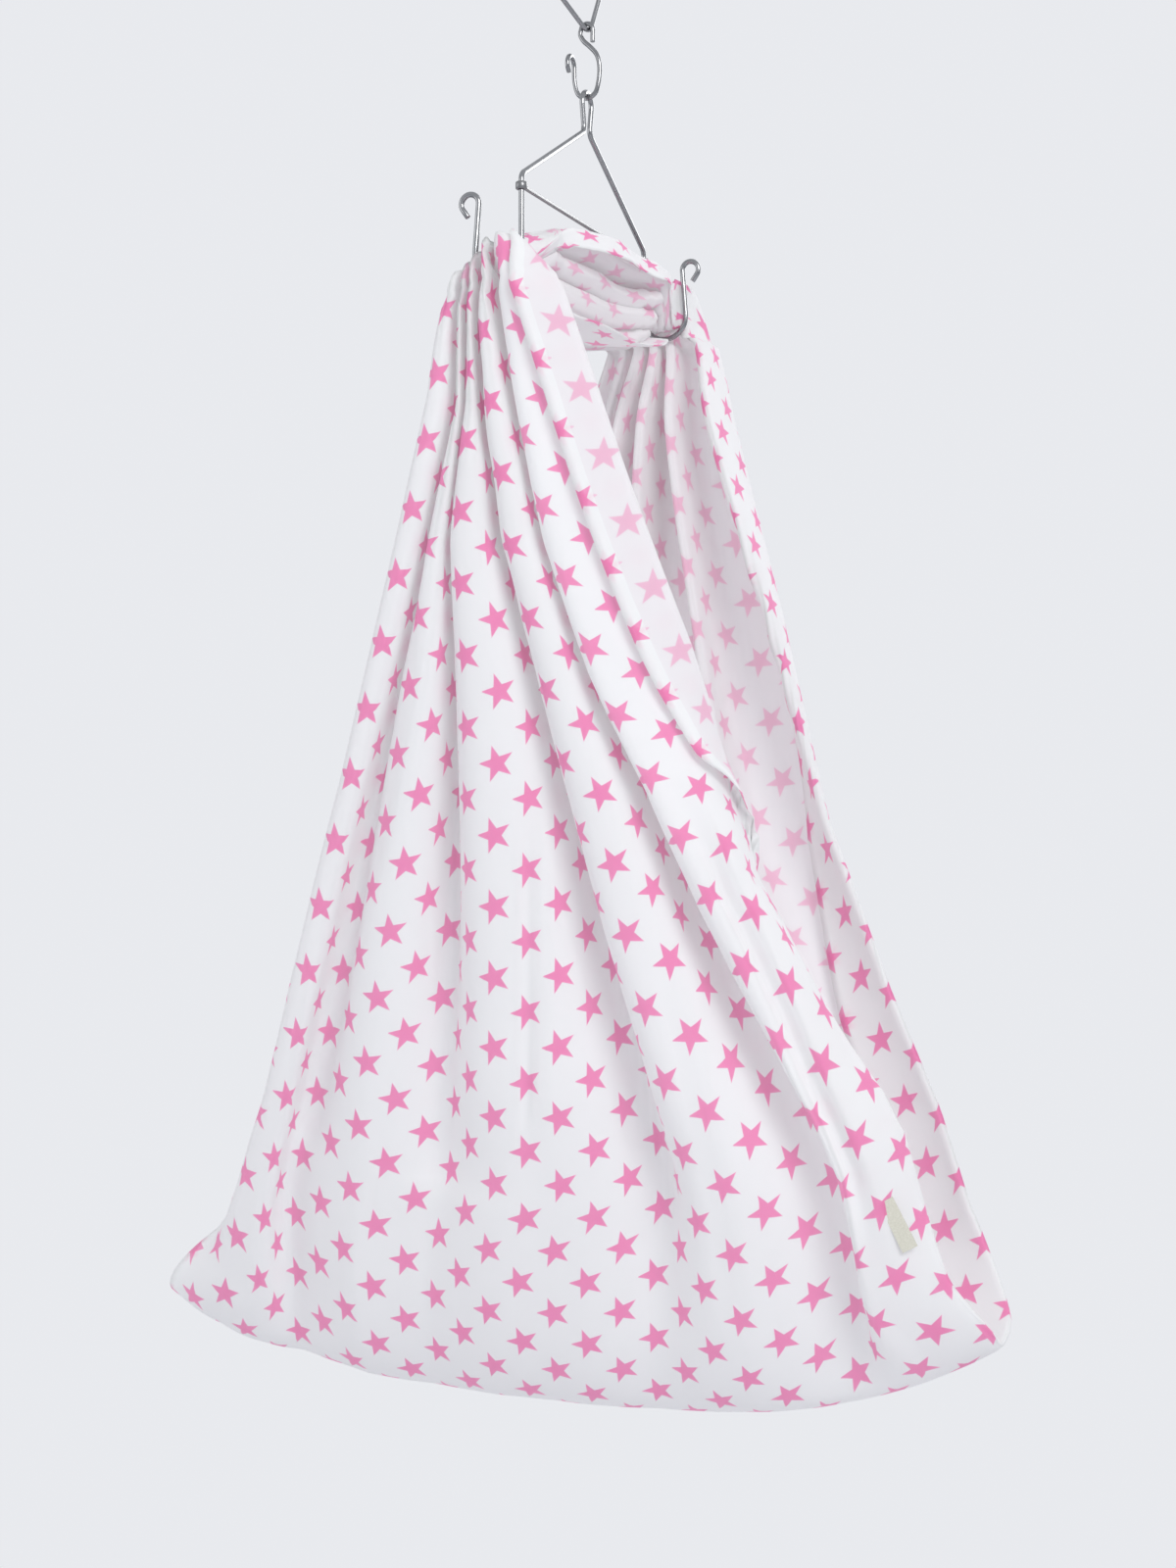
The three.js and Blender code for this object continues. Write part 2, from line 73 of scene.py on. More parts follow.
# %% Camera
wire_low, wire_high = (Vector(corner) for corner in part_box("hanger_wire"))
bar_low, bar_high = (Vector(corner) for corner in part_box("cross_bar"))
BAR_LEVEL = (bar_low.z + bar_high.z) / 2
EYE_BELOW_BAR = 0.500              # the camera's place, in metres: below the cross bar
CAMERA_SIDE = 0.742                # to the right of the hanger
CAMERA_NEAR = 1.881                # and in front of it
VIEW_AZIMUTH = math.radians(21.5)
FOCAL_PIXELS = 2300
PHOTO_HEIGHT = 1600
SENSOR = 36.0

camera_data = bpy.data.cameras.new("camera")
camera_data.sensor_fit = "VERTICAL"
camera_data.sensor_height = SENSOR
camera_data.lens = FOCAL_PIXELS / PHOTO_HEIGHT * SENSOR
camera = bpy.data.objects.new("camera", camera_data)
camera.location = (CAMERA_SIDE, -CAMERA_NEAR, BAR_LEVEL - EYE_BELOW_BAR)
camera.rotation_euler = (math.radians(90), 0, VIEW_AZIMUTH)
scene.collection.objects.link(camera)
scene.camera = camera
scene.view_settings.view_transform = "Standard"
print("camera at", tuple(round(v, 3) for v in camera.location), "lens", round(camera_data.lens, 2))

# %% [markdown]
# ## Shader maths
# Blender's shader maths is a graph of small nodes. This class wraps one output socket, so that a formula
# can be written as a Python expression and the nodes appear by themselves.


# %% Sockets as numbers
class Socket:
    """One value in a material: arithmetic on it adds Math nodes."""

    def __init__(self, tree, link):
        self.tree = tree
        self.link = link

    def math(self, operation, *others):
        return self.tree.math(operation, self, *others)

    def __add__(self, other):
        return self.math("ADD", other)

    def __sub__(self, other):
        return self.math("SUBTRACT", other)

    def __rsub__(self, other):
        return self.tree.math("SUBTRACT", other, self)

    def __mul__(self, other):
        return self.math("MULTIPLY", other)

    def __truediv__(self, other):
        return self.math("DIVIDE", other)

    __radd__ = __add__
    __rmul__ = __mul__


class Outputs:
    """A node's outputs, by number or name."""

    def __init__(self, tree, made):
        self.tree = tree
        self.made = made

    def __getitem__(self, key):
        return Socket(self.tree, self.made.outputs[key])


# %% Nodes of a material or a world
class Tree:
    """The nodes of a material or a world."""

    def __init__(self, owner):
        owner.use_nodes = True
        self.owner = owner
        self.nodes = owner.node_tree.nodes
        self.links = owner.node_tree.links
        self.nodes.clear()

    def node(self, kind, settings=None, inputs=None):
        """Adds a node, first its settings, then its inputs, and gives back its outputs."""
        made = self.nodes.new(kind)
        for key, value in (settings or {}).items():
            setattr(made, key, value)
        for key, value in (inputs or {}).items():
            socket = made.inputs[key]
            if isinstance(value, Socket):
                self.links.new(value.link, socket)
            else:
                socket.default_value = value
        return Outputs(self, made)

    def math(self, operation, *values):
        return self.node("ShaderNodeMath", {"operation": operation}, dict(enumerate(values)))[0]

    def mix(self, share, first, second):
        """Mixes two colours by a share from 0 to 1."""
        return self.node("ShaderNodeMix", {"data_type": "RGBA"}, {0: share, 6: first, 7: second})[2]

    def noise(self, place, scale, detail=2.0):
        return self.node("ShaderNodeTexNoise", {}, {"Vector": place, "Scale": scale, "Detail": detail})[0]

    def shade(self, through=None, **sockets):
        """The finished surface, with its sockets named in words, such as base_color.

        through, for thin cloth, is the share of light that passes and the tint it takes on."""
        named = {key.replace("_", " ").title().replace("Ior", "IOR"): value for key, value in sockets.items()}
        surface = self.node("ShaderNodeBsdfPrincipled", {}, named)[0]
        if through:
            share, tint = through
            passed = self.node("ShaderNodeBsdfTranslucent", {}, {"Color": tint})[0]
            surface = self.node("ShaderNodeMixShader", {}, {0: share, 1: surface, 2: passed})[0]
        self.node("ShaderNodeOutputMaterial", {}, {"Surface": surface})
        return self.owner


def rgb(*parts):
    """An sRGB colour, as a paint chart gives it, in the linear values that a shader wants."""
    linear = [p / 12.92 if p <= 0.04045 else ((p + 0.055) / 1.055) ** 2.4 for p in parts]
    return (*linear, 1.0)


# %% [markdown]
# ## Studio
# A pale seamless backdrop and broad lamps. The backdrop's colour is the photograph's cool pale grey. The
# cloth is white, so the lamps stay low enough that its broad surfaces don't clip. What the camera sees
# behind the cradle is kept apart from what lights it, because the backdrop would be too bright a light.

# %% World
BACKDROP = rgb(0.912, 0.918, 0.934)
SOFT_LIGHT = rgb(0.93, 0.94, 0.96)
SOFT_STRENGTH = 0.78


def seen_as(tree, lit, shown):
    """One shader for the light in the room, and another for what the camera sees."""
    ray = tree.node("ShaderNodeLightPath")["Is Camera Ray"]
    return tree.node("ShaderNodeMixShader", {}, {0: ray, 1: lit, 2: shown})[0]


studio = Tree(bpy.data.worlds.new("studio"))
scene.world = studio.owner
soft = studio.node("ShaderNodeBackground", {}, {"Color": SOFT_LIGHT, "Strength": SOFT_STRENGTH})[0]
behind = studio.node("ShaderNodeBackground", {}, {"Color": BACKDROP, "Strength": 1.0})[0]
studio.node("ShaderNodeOutputWorld", {}, {"Surface": seen_as(studio, soft, behind)})
print("world light", SOFT_STRENGTH)

# %% Backdrop
FLOOR_GAP = 0.55
FLOOR_REACH = 14.0
floor_level = cad_box[0][2] - FLOOR_GAP
floor_bm = bmesh.new()
bmesh.ops.create_grid(floor_bm, x_segments=1, y_segments=1, size=FLOOR_REACH)
bmesh.ops.translate(floor_bm, verts=floor_bm.verts, vec=(0, 0, floor_level))
floor_mesh = bpy.data.meshes.new("floor")
floor_bm.to_mesh(floor_mesh)
floor_bm.free()
floor = bpy.data.objects.new("floor", floor_mesh)
scene.collection.objects.link(floor)
paper = Tree(bpy.data.materials.new("backdrop paper"))
matt = paper.node("ShaderNodeBsdfDiffuse", {}, {"Color": rgb(0.86, 0.865, 0.88)})[0]
plain = paper.node("ShaderNodeEmission", {}, {"Color": BACKDROP, "Strength": 1.0})[0]
paper.node("ShaderNodeOutputMaterial", {}, {"Surface": seen_as(paper, matt, plain)})
floor.data.materials.append(paper.owner)
print("floor", round(floor_level, 3))

# %% Lamps
CRADLE_MIDDLE = Vector((0.0, 0.0, -0.75))


def lamp(name, place, size, power):
    """A square soft box, in metres and watts, that looks at the middle of the cradle."""
    data = bpy.data.lights.new(name, "AREA")
    data.shape = "SQUARE"
    data.size = size
    data.energy = power
    light = bpy.data.objects.new(name, data)
    light.location = place
    light.rotation_euler = (CRADLE_MIDDLE - Vector(place)).to_track_quat("-Z", "Y").to_euler()
    scene.collection.objects.link(light)
    print(name, "lamp", power, "W")


lamp("key", place=(2.1, -2.2, 0.9), size=1.5, power=53)
lamp("fill", place=(-2.6, -1.6, 0.1), size=2.0, power=13)
lamp("back", place=(0.6, 2.8, 0.7), size=1.8, power=30)

# %% [markdown]
# ## Wires
# All the wires are round steel with a bright plating. On such thin wire the plating reads as dark and
# light streaks along it. They come from what surrounds the wire, so a plain metal surface shows them by
# itself, where painted streaks would stay put as the view changes. Two noises keep the metal from looking
# too perfect: a coarse one clouds its tone and gloss, and a fine one roughens it.


# %% Plated steel
def plated(name, tone, roughness, cloud):
    """Bright plated wire: tone is its colour, and cloud is how much its gloss varies."""
    tree = Tree(bpy.data.materials.new(name))
    place = tree.node("ShaderNodeTexCoord")["Object"]
    mottle = tree.noise(place, scale=90.0, detail=3.0)
    specks = tree.noise(place, scale=900.0)
    dull = tree.mix(mottle, rgb(tone * 0.86, tone * 0.87, tone * 0.88), rgb(tone, tone, tone * 1.01))
    gloss = mottle * cloud + roughness
    bump = tree.node("ShaderNodeBump", {}, {"Strength": 0.12, "Distance": 0.0002, "Height": specks})
    return tree.shade(base_color=dull, metallic=1.0, roughness=gloss, normal=bump[0])


link_plating = plated("link plating", 0.67, 0.14, 0.12)
hook_plating = plated("hook plating", 0.64, 0.14, 0.12)
hanger_plating = plated("hanger plating", 0.67, 0.14, 0.10)
bar_plating = plated("bar plating", 0.60, 0.30, 0.12)
print("platings for link, hook, hanger and bar")

# %% Smooth wires
WELD = 0.01 * MM                   # vertices closer than this are one
CUT_ANGLE = math.radians(50)       # a sharper edge than this is a wire's cut end
CUT_BEVEL = 0.35 * MM


def smooth_wire(node, name, finish):
    """A CAD wire with its facets joined and its cut ends eased, so that light runs along it unbroken."""
    mesh = bpy.data.meshes.new(name)
    bm = bmesh.new()
    bm.from_mesh(nodes[node].data)
    bmesh.ops.remove_doubles(bm, verts=bm.verts, dist=WELD)
    ends = [edge for edge in bm.edges if len(edge.link_faces) == 2 and edge.calc_face_angle() > CUT_ANGLE]
    bmesh.ops.bevel(
        bm, geom=ends, offset=CUT_BEVEL, segments=2, profile=0.5, affect="EDGES", material=-1,
        clamp_overlap=True,
    )
    for face in bm.faces:
        face.smooth = True
    bm.to_mesh(mesh)
    bm.free()
    mesh.materials.append(finish)
    piece = bpy.data.objects.new(name, mesh)
    scene.collection.objects.link(piece)
    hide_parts(node)
    print(name, len(mesh.polygons), "faces")
    return piece


link_wire = smooth_wire("hanging_link", "link_wire", link_plating)
hook_wire = smooth_wire("s_hook", "s_hook_wire", hook_plating)
hanger = smooth_wire("hanger_wire", "hanger_frame", hanger_plating)
bar = smooth_wire("cross_bar", "hanger_bar", bar_plating)
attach(link_wire, "link")
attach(hook_wire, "s_hook")
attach(hanger, "hanger")
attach(bar, "hanger")

# %% [markdown]
# ## How the cloth hangs
# The cloth is a tube. Cut it along the middle of its bridge and lay it flat, and it is a rectangle: its
# width runs along the cradle, and its length round the loop. A place on it is a column, counted in rows
# of stars from the left hem, and a length s along the loop from the middle of the bridge. Its side is -1
# on the near half of the loop, towards the camera, and 1 on the far half.
#
# Cotton bends easily and hardly stretches. So each row across the cloth is a curve of fixed length that
# folds up to fit the room it has. We describe the row by its direction at each column, and add up steps
# in these directions. However tightly such a row folds, its length stays right, and so do the stars.
#
# That holds on the panels. In the hooks and on the bridge the folded row is then pressed into its room,
# and loses a good part of its width: over a third on the bridge, and half over the hooks. Real
# cloth would hide that width in many finer folds. The shares are measured below, once the rows are placed.

# %% Sizes of the cloth, in metres
COLUMN = 29.75 * MM                # between two columns of stars
COLUMNS = 29.0                     # the cloth's width, in columns
WIDTH = COLUMN * COLUMNS
WIRE = 5.0 * MM
HOOK_Y = wire_high.y - WIRE / 2
HOOK_BOTTOM = wire_low.z + WIRE / 2
HOOK_X = 21.2 * MM                 # from a post to the middle of its hook: the radius of the hook's bend
DEPTH = 968 * MM                   # from the hooks down to the middle of the seat
SEAT_LEVEL = HOOK_BOTTOM - DEPTH
LEFT_LIFT = 62 * MM                # how much higher the seat is at its two ends
RIGHT_LIFT = 87 * MM
NEAR_BUNDLE = 36 * MM              # the bundle in the near hook, from the wire up
FAR_BUNDLE = 54 * MM               # and in the far one
MIDDLE_RADIUS = WIRE / 2 + (NEAR_BUNDLE + FAR_BUNDLE) / 4
REACH = HOOK_Y + MIDDLE_RADIUS


# %% Length of the loop
SMALLEST_SAG = 1e-4
SAG_HALVINGS = 60


def sag_radius(depth, reach):
    """The bottom radius of a hanging loop whose sides come up at the reach, found by bisection."""
    low, high = SMALLEST_SAG, depth
    for _ in range(SAG_HALVINGS):
        radius = (low + high) / 2
        if radius * math.acosh(1 + depth / radius) < reach:
            low = radius
        else:
            high = radius
    return radius


SAG = sag_radius(DEPTH, REACH)
PANEL = SAG * math.sinh(REACH / SAG)
TURN = MIDDLE_RADIUS * math.pi / 2
HALF_LOOP = HOOK_Y + TURN + PANEL
print("cloth", round(WIDTH, 3), "x", round(2 * HALF_LOOP, 3), "sag radius", round(SAG, 4))

# %% [markdown]
# ## The loop from the side
# From the bridge the cloth runs level to the hook, turns down round the wire, and then hangs as a long
# loop, which is a catenary. Each row gets a middle point and an outward direction on this line.

# %% The line of the loop
BRIDGE_SINK = 10 * MM              # the middle of the bridge below the middle of the bundles


def smooth_step(low, high, value):
    """Goes from 0 at low to 1 at high, and starts and ends gently. low may be the greater one."""
    share = np.clip((value - low) / (high - low), 0, 1)
    return share * share * (3 - 2 * share)


def fall_share(s):
    """0 at the hook and 1 at the seat, for a length along the loop from the bridge."""
    rest = np.clip(HALF_LOOP - s, 0, PANEL)
    height = np.sqrt(SAG**2 + rest**2) - SAG
    return 1 - height / DEPTH


def loop_line(s):
    """Place and outward direction in the plane across the cradle, for the half with Y above zero."""
    if s < HOOK_Y:
        sink = BRIDGE_SINK * (1 - (s / HOOK_Y) ** 2)
        return s, HOOK_BOTTOM + MIDDLE_RADIUS - sink, 0.0, 1.0
    if s < HOOK_Y + TURN:
        angle = (s - HOOK_Y) / MIDDLE_RADIUS
        out, up = math.sin(angle), math.cos(angle)
        return HOOK_Y + MIDDLE_RADIUS * out, HOOK_BOTTOM + MIDDLE_RADIUS * up, out, up
    rest = HALF_LOOP - s
    slope = math.atan2(rest, SAG)
    y = SAG * math.asinh(rest / SAG)
    z = SEAT_LEVEL + SAG * (1 / math.cos(slope) - 1)
    return y, z, math.sin(slope), -math.cos(slope)


print("seat at", [round(v, 3) for v in loop_line(HALF_LOOP)[:2]])

# %% [markdown]
# ## The folds
# Gathered cloth hangs in pipes: broad rounded ridges with narrow closed valleys between them, where most
# of the width hides. Seen across, the direction turns steadily over each ridge until the wall runs
# straight in, and flips at the valley's bottom. One number, the tightness, says how fast it turns, and we
# solve it for each pipe of each row, so that the pipe just fills its room.

# %% Ridges and valleys of the panels
# Down each panel, at shares of the fall from hook to seat: the places across, in millimetres, of its left
# edge, its four valleys' mouths and its right edge, and the columns of its five ridges and four valleys
NEAR = {
    "fall": [0.0, 0.02, 0.11, 0.23, 0.35, 0.46, 0.58, 0.68, 0.77, 0.86, 0.94, 1.0],
    "places": [
        [-52, -60, -78, -107, -138, -167, -203, -234, -265, -305, -350, -426],
        [-40, -46, -51, -80, -111, -139, -168, -195, -220, -248, -262, -275],
        [-33, -38, -41, -60, -66, -72, -79, -88, -96, -108, -125, -143],
        [-24, -28, -26, -14, 13, 36, 60, 82, 100, 108, 100, 86],
        [-12, -15, 0, 24, 62, 106, 145, 190, 232, 262, 266, 256],
        [30, 47, 74, 108, 141, 158, 180, 236, 297, 334, 354, 382],
    ],
    "ridges": [
        [3.0, 3.0, 3.0, 3.0, 3.0, 3.0, 3.0, 2.8, 2.6, 2.3, 2.1, 2.0],
        [6.3, 6.3, 6.3, 6.3, 6.3, 6.5, 6.9, 7.1, 7.2, 7.3, 7.3, 7.3],
        [11.1, 11.1, 11.1, 11.3, 11.5, 12.0, 12.4, 12.8, 13.1, 13.4, 13.4, 13.4],
        [18.1, 18.1, 18.1, 18.2, 18.4, 18.8, 19.2, 19.5, 20.0, 20.2, 20.2, 20.2],
        [26.0, 26.0, 25.6, 25.2, 25.0, 25.0, 25.0, 25.0, 25.2, 25.3, 25.3, 25.3],
    ],
    "valleys": [
        [4.7, 4.7, 4.7, 4.7, 4.7, 4.9, 5.0, 5.1, 5.1, 5.1, 5.1, 5.1],
        [8.5, 8.5, 8.5, 8.5, 8.7, 9.0, 9.2, 9.3, 9.5, 9.5, 9.5, 9.5],
        [14.5, 14.5, 14.5, 14.8, 15.1, 15.5, 16.0, 16.5, 17.0, 17.2, 17.2, 17.2],
        [22.4, 22.4, 22.1, 21.8, 21.8, 22.1, 22.4, 22.5, 22.9, 22.9, 22.9, 22.9],
    ],
}
FAR = {
    "fall": [0.0, 0.1, 0.3, 0.52, 0.69, 0.81, 0.9, 1.0],
    "places": [
        [-45, -70, -128, -190, -248, -306, -350, -426],
        [-27, -45, -88, -140, -183, -215, -240, -275],
        [-10, -20, -48, -77, -93, -102, -116, -143],
        [6, 8, 8, 12, 34, 68, 84, 86],
        [21, 36, 69, 104, 157, 212, 244, 256],
        [51, 80, 138, 192, 252, 303, 334, 382],
    ],
    "ridges": [
        [1.6, 1.6, 1.6, 1.6, 1.6, 1.8, 1.9, 2.0],
        [5.4, 5.4, 5.4, 5.4, 5.6, 6.3, 6.8, 7.3],
        [11.5, 11.5, 11.5, 11.5, 11.7, 12.4, 12.9, 13.4],
        [18.3, 18.3, 18.3, 18.3, 18.5, 19.2, 19.7, 20.2],
        [25.0, 25.0, 25.0, 25.0, 25.0, 25.1, 25.2, 25.3],
    ],
    "valleys": [
        [3.4, 3.4, 3.4, 3.4, 3.6, 4.3, 4.8, 5.1],
        [8.3, 8.3, 8.3, 8.3, 8.5, 9.0, 9.3, 9.5],
        [15.1, 15.1, 15.1, 15.1, 15.5, 16.3, 16.8, 17.2],
        [22.0, 22.0, 22.0, 22.0, 22.2, 22.5, 22.7, 22.9],
    ],
}

# %% Ridges and valleys of the bridge
# At the middle of the bridge the places are shares of half the height of its stack of folds
BRIDGE_MARKS = np.array([-1.0, -0.64, -0.25, 0.17, 0.60, 1.0])
BRIDGE_RIDGES = np.array([3.9, 8.3, 13.3, 18.8, 24.6])
BRIDGE_VALLEYS = np.array([5.9, 10.8, 15.9, 21.6])
# Half of the stack's height and of its thickness, in millimetres, at shares of the way out to a hook
HEIGHT_AT, HALF_HEIGHTS = [0, 0.5, 0.85, 1], [48, 40, 22, 13]
THICK_AT, HALF_THICKS = [0, 0.6, 0.85, 1], [46, 36, 19, 13]
LIES_TO, UPRIGHT_FROM = 0.5, 0.97  # and the shares between which it comes upright
NEAR_HALF_TURNED = 34              # half the bundle's width half way round its hook, in millimetres
FAR_HALF_TURNED = 31

# %% Columns of the mesh
GRID_COLUMNS = 145
# Where the mesh's columns lie closer: the column of the print, how much closer, and over how many columns
CLOSER = [
    (4.8, 1.0, 0.7), (9.0, 1.0, 0.7), (15.6, 1.0, 0.7), (22.3, 1.0, 0.7), (27.5, 1.8, 0.5), (25.5, 0.8, 0.5)
]


def column_grid():
    """Columns of the mesh: closer together where the cloth turns sharply."""
    fine = np.linspace(0, COLUMNS, 6001)
    density = np.full_like(fine, 1.0)
    for column, closer, wide in CLOSER:
        density += closer * np.exp(-(((fine - column) / wide) ** 2))
    total = np.concatenate([[0], np.cumsum((density[1:] + density[:-1]) / 2)])
    return np.interp(np.linspace(0, total[-1], GRID_COLUMNS), total, fine)


grid_c = column_grid()
step_c = np.diff(grid_c) * COLUMN
mid_c = (grid_c[1:] + grid_c[:-1]) / 2
print("columns", round(float(step_c.min()) / MM, 1), "to", round(float(step_c.max()) / MM, 1), "mm apart")


# %% The room of a row
class Row:
    """What one row across the cloth has to fit: its room, and where its ridges and valleys are."""

    def __init__(self, s, side):
        table = NEAR if side < 0 else FAR
        self.s = s
        self.side = side
        self.q = float(fall_share(s))
        at = {key: np.array([np.interp(self.q, table["fall"], line) for line in table[key]])
              for key in ("places", "ridges", "valleys")}
        left, right = at["places"][[0, -1]] * MM
        self.half = (right - left) / 2
        self.middle = (right + left) / 2
        self.ridges = at["ridges"]
        self.valleys = at["valleys"]
        self.lying = 0.0
        marks = (at["places"] * MM - self.middle) / self.half
        if s <= HOOK_Y:
            self.half = float(np.interp(s / HOOK_Y, HEIGHT_AT, HALF_HEIGHTS)) * MM
            self.middle = side * HOOK_X * s / HOOK_Y
            self.lying = 1 - smooth_step(LIES_TO, UPRIGHT_FROM, s / HOOK_Y)
            marks = marks + (BRIDGE_MARKS - marks) * self.lying
            self.ridges = self.ridges + (BRIDGE_RIDGES - self.ridges) * self.lying
            self.valleys = self.valleys + (BRIDGE_VALLEYS - self.valleys) * self.lying
        elif s <= HOOK_Y + TURN:
            turned = (s - HOOK_Y) / TURN
            halves = [HALF_HEIGHTS[-1], FAR_HALF_TURNED if side > 0 else NEAR_HALF_TURNED, self.half / MM]
            self.half = float(np.interp(turned, [0, 0.5, 1], halves)) * MM
            self.middle = side * HOOK_X + (self.middle - side * HOOK_X) * smooth_step(0.2, 1, turned)
        self.rooms = np.diff(marks) * self.half
        self.pipe = np.searchsorted(self.valleys, mid_c)
        ridge = self.ridges[self.pipe]
        self.toward = np.sign(ridge - mid_c)
        self.from_ridge = np.abs(mid_c - ridge) * COLUMN
        self.from_valley = np.min(np.abs(mid_c[:, None] - self.valleys[None, :]), axis=1) * COLUMN
        self.last = self.pipe == len(self.ridges) - 1


for part, s in {"bridge": 0.0, "hook": HOOK_Y, "seat": HALF_LOOP}.items():
    print(part, "rooms, in mm:", [round(float(room) / MM) for room in Row(s, -1.0).rooms])

# %% [markdown]
# ## Directions along a row
# A row's direction is a sum of four parts. The pipes give the big turns. The aim turns the fronts of the
# ridges a little to the right, as in the photograph. The ripple keeps two folds from being alike, and the
# tucks are shallow folds between the big ones. On the bridge a tuck lies over each inner edge.

# %% Pipes
PIPE = 60 * MM                     # so far from a ridge, a tightness of 1 has turned the wall most of the way
ROUNDNESS = 1.4                    # above 1, a ridge's top is flatter than an arc
SHARP_VALLEY, OPEN_VALLEY = 4, 14  # how far a valley's turn reaches, in millimetres, and what the seat adds


def pipe_lengths(row, place):
    """How much of each step of the row belongs to each pipe, up to the column where the margin turns."""
    starts = np.concatenate([[0], row.valleys])[:, None]
    ends = np.append(row.valleys, place)[:, None]
    shared = np.minimum(grid_c[1:], ends) - np.maximum(grid_c[:-1], starts)
    return np.clip(shared, 0, None) * COLUMN


def pipes(row, tightness, face):
    """Directions in radians from the row's own line. face is how flat the last pipe's front is."""
    strength = tightness[row.pipe] * np.where(row.last & (row.toward < 0), 1 - face, 1.0)
    turn = np.tanh((strength * row.from_ridge / PIPE) ** ROUNDNESS)
    soft = (SHARP_VALLEY + OPEN_VALLEY * smooth_step(0.3, 0.9, row.q)) * MM
    return row.toward * math.pi / 2 * turn * np.tanh(row.from_valley / soft)


# %% Aim and ripple
RIDGE_AIM = math.radians(10)
FRONT_AIM = math.radians(20)


def aim(row, face):
    """The ridges' fronts look a little to the right, and the last pipe's flat front does so most."""
    down = smooth_step(0.02, 0.2, row.q) * (1 - smooth_step(0.7, 1.0, row.q))
    common = np.exp(-((row.from_ridge / (1.2 * COLUMN)) ** 2))
    flat = 0.5 + 0.5 * np.tanh((mid_c - row.ridges[-1] + 0.7) / 0.4)
    turned = FRONT_AIM * face * (1 - smooth_step(0.8, 1.0, row.q))
    return np.where(row.last, -turned * flat, -RIDGE_AIM * down * common)


def ripple(row):
    """Small unevenness: three waves of ever finer pitch, which differ along the loop and by side."""
    phase = 5.1 * row.s + (1.7 if row.side > 0 else 0.0)
    waves = 0.5 * np.sin(1.9 * mid_c + 2.1 * np.sin(phase))
    waves = waves + 0.35 * np.sin(4.3 * mid_c + 3.0 * np.sin(1.3 * phase))
    return waves + 0.25 * np.sin(7.7 * mid_c - 2.0 * phase)


# %% Tucks
# On the near panel: a tuck's column, the shares of the fall where it begins and ends, and how steep it is
TUCKS = [(25.5, 0.44, 0.92, 1.15), (13.1, 0.42, 0.80, 0.75), (19.7, 0.55, 0.95, 0.35), (6.0, 0.25, 0.6, 0.4)]
TUCK_HALF = 0.5                    # half of a tuck's width, in columns
BRIDGE_TUCK_HALF = 0.8
BRIDGE_TUCK = math.radians(70)


def tucks(row):
    """Shallow extra folds down the near panel, and one over each inner edge of the bridge."""
    total = np.zeros_like(mid_c)
    for valley in row.valleys:
        place = np.clip((mid_c - valley) / BRIDGE_TUCK_HALF, -1, 1)
        total -= row.lying * BRIDGE_TUCK * np.sin(math.pi * place) * np.sign(1 - np.abs(place))
    if row.side < 0:
        for column, start, end, steep in TUCKS:
            middle = (start + end) / 2
            share = smooth_step(start, middle, row.q) * (1 - smooth_step(middle, end, row.q)) * 2
            place = np.clip((mid_c - column) / TUCK_HALF, -1, 1)
            total += steep * min(share, 1) * np.sin(math.pi * place)
    return total


print(len(TUCKS), "tucks on the near panel and", len(BRIDGE_VALLEYS), "on the bridge")

# %% [markdown]
# ## The margins
# Both panels show what their right margin does. High on the near one it is turned outwards, flat on the
# panel, so that its paler inside shows in a strip, and lower down it rolls in instead. The far one is
# turned in towards us, and shows the print. A turned margin runs back parallel to the cloth under it.

# %% Turned margins
NEAR_FOLD = 27.5                   # the column where the near margin turns
FLAP_FROM, FLAP_TO = 0.45, 0.57    # shares of the fall between which the outer flap runs out
ROLL_TO = 0.74                     # and where the inward roll has grown to its full width
SEAT_ROLL = 0.33                   # how much further it rolls at the seat, as a share of that width
FLAP_TURN = math.radians(177)
ROLL_TURN = math.radians(165)
DROOP = math.radians(50)           # how the margin hangs on the bridge
FAR_FOLD = 28.8                    # the column where the far margin turns, beside its hook
FAR_FOLD_PANEL = 1.8               # and how many columns sooner it turns down the panel
FAR_FOLD_BRIDGE = 1.3              # and on the bridge
FOLD_REACH = 0.12                  # how far the turn of a margin reaches, in columns


def margin_turn(row):
    """The column where the margin turns, and by what angle: outwards is positive."""
    s, q = row.s, row.q
    droop = -DROOP * row.lying
    if row.side < 0 and q < FLAP_TO:
        outward = smooth_step(HOOK_Y * 0.85, HOOK_Y + TURN * 0.4, s)
        fold = NEAR_FOLD + (COLUMNS - NEAR_FOLD) * smooth_step(FLAP_FROM, FLAP_TO, q)
        return fold, droop + FLAP_TURN * outward
    if row.side < 0:
        rolled = smooth_step(FLAP_TO, ROLL_TO, q) + SEAT_ROLL * smooth_step(0.8, 1.0, q)
        return COLUMNS - (COLUMNS - NEAR_FOLD) * rolled, -ROLL_TURN
    inward = smooth_step(HOOK_Y * 0.8, HOOK_Y + TURN, s)
    fold = FAR_FOLD - FAR_FOLD_PANEL * smooth_step(0.15, 0.75, q) - FAR_FOLD_BRIDGE * row.lying
    return fold, min(droop, -ROLL_TURN * inward)


def fold_margin(direction, place, angle):
    """Turns what lies past a column, parallel to the cloth that it comes to lie on."""
    under = np.interp(2 * place - mid_c, mid_c, direction)
    share = abs(angle) / math.pi
    past = 0.5 + 0.5 * np.tanh((mid_c - place) / FOLD_REACH)
    folded = direction * (1 - share) + under * share + angle
    return direction * (1 - past) + folded * past


# %% [markdown]
# ## Solving a row
# A tighter pipe takes less room, so bisection finds the tightness, for all five pipes of a row at once.
# The last pipe of the near panel has a flat front on its right, which the flap lies on. Where the flap
# runs out, that front is slackened, so that the cloth doesn't jump from one turn to the other.

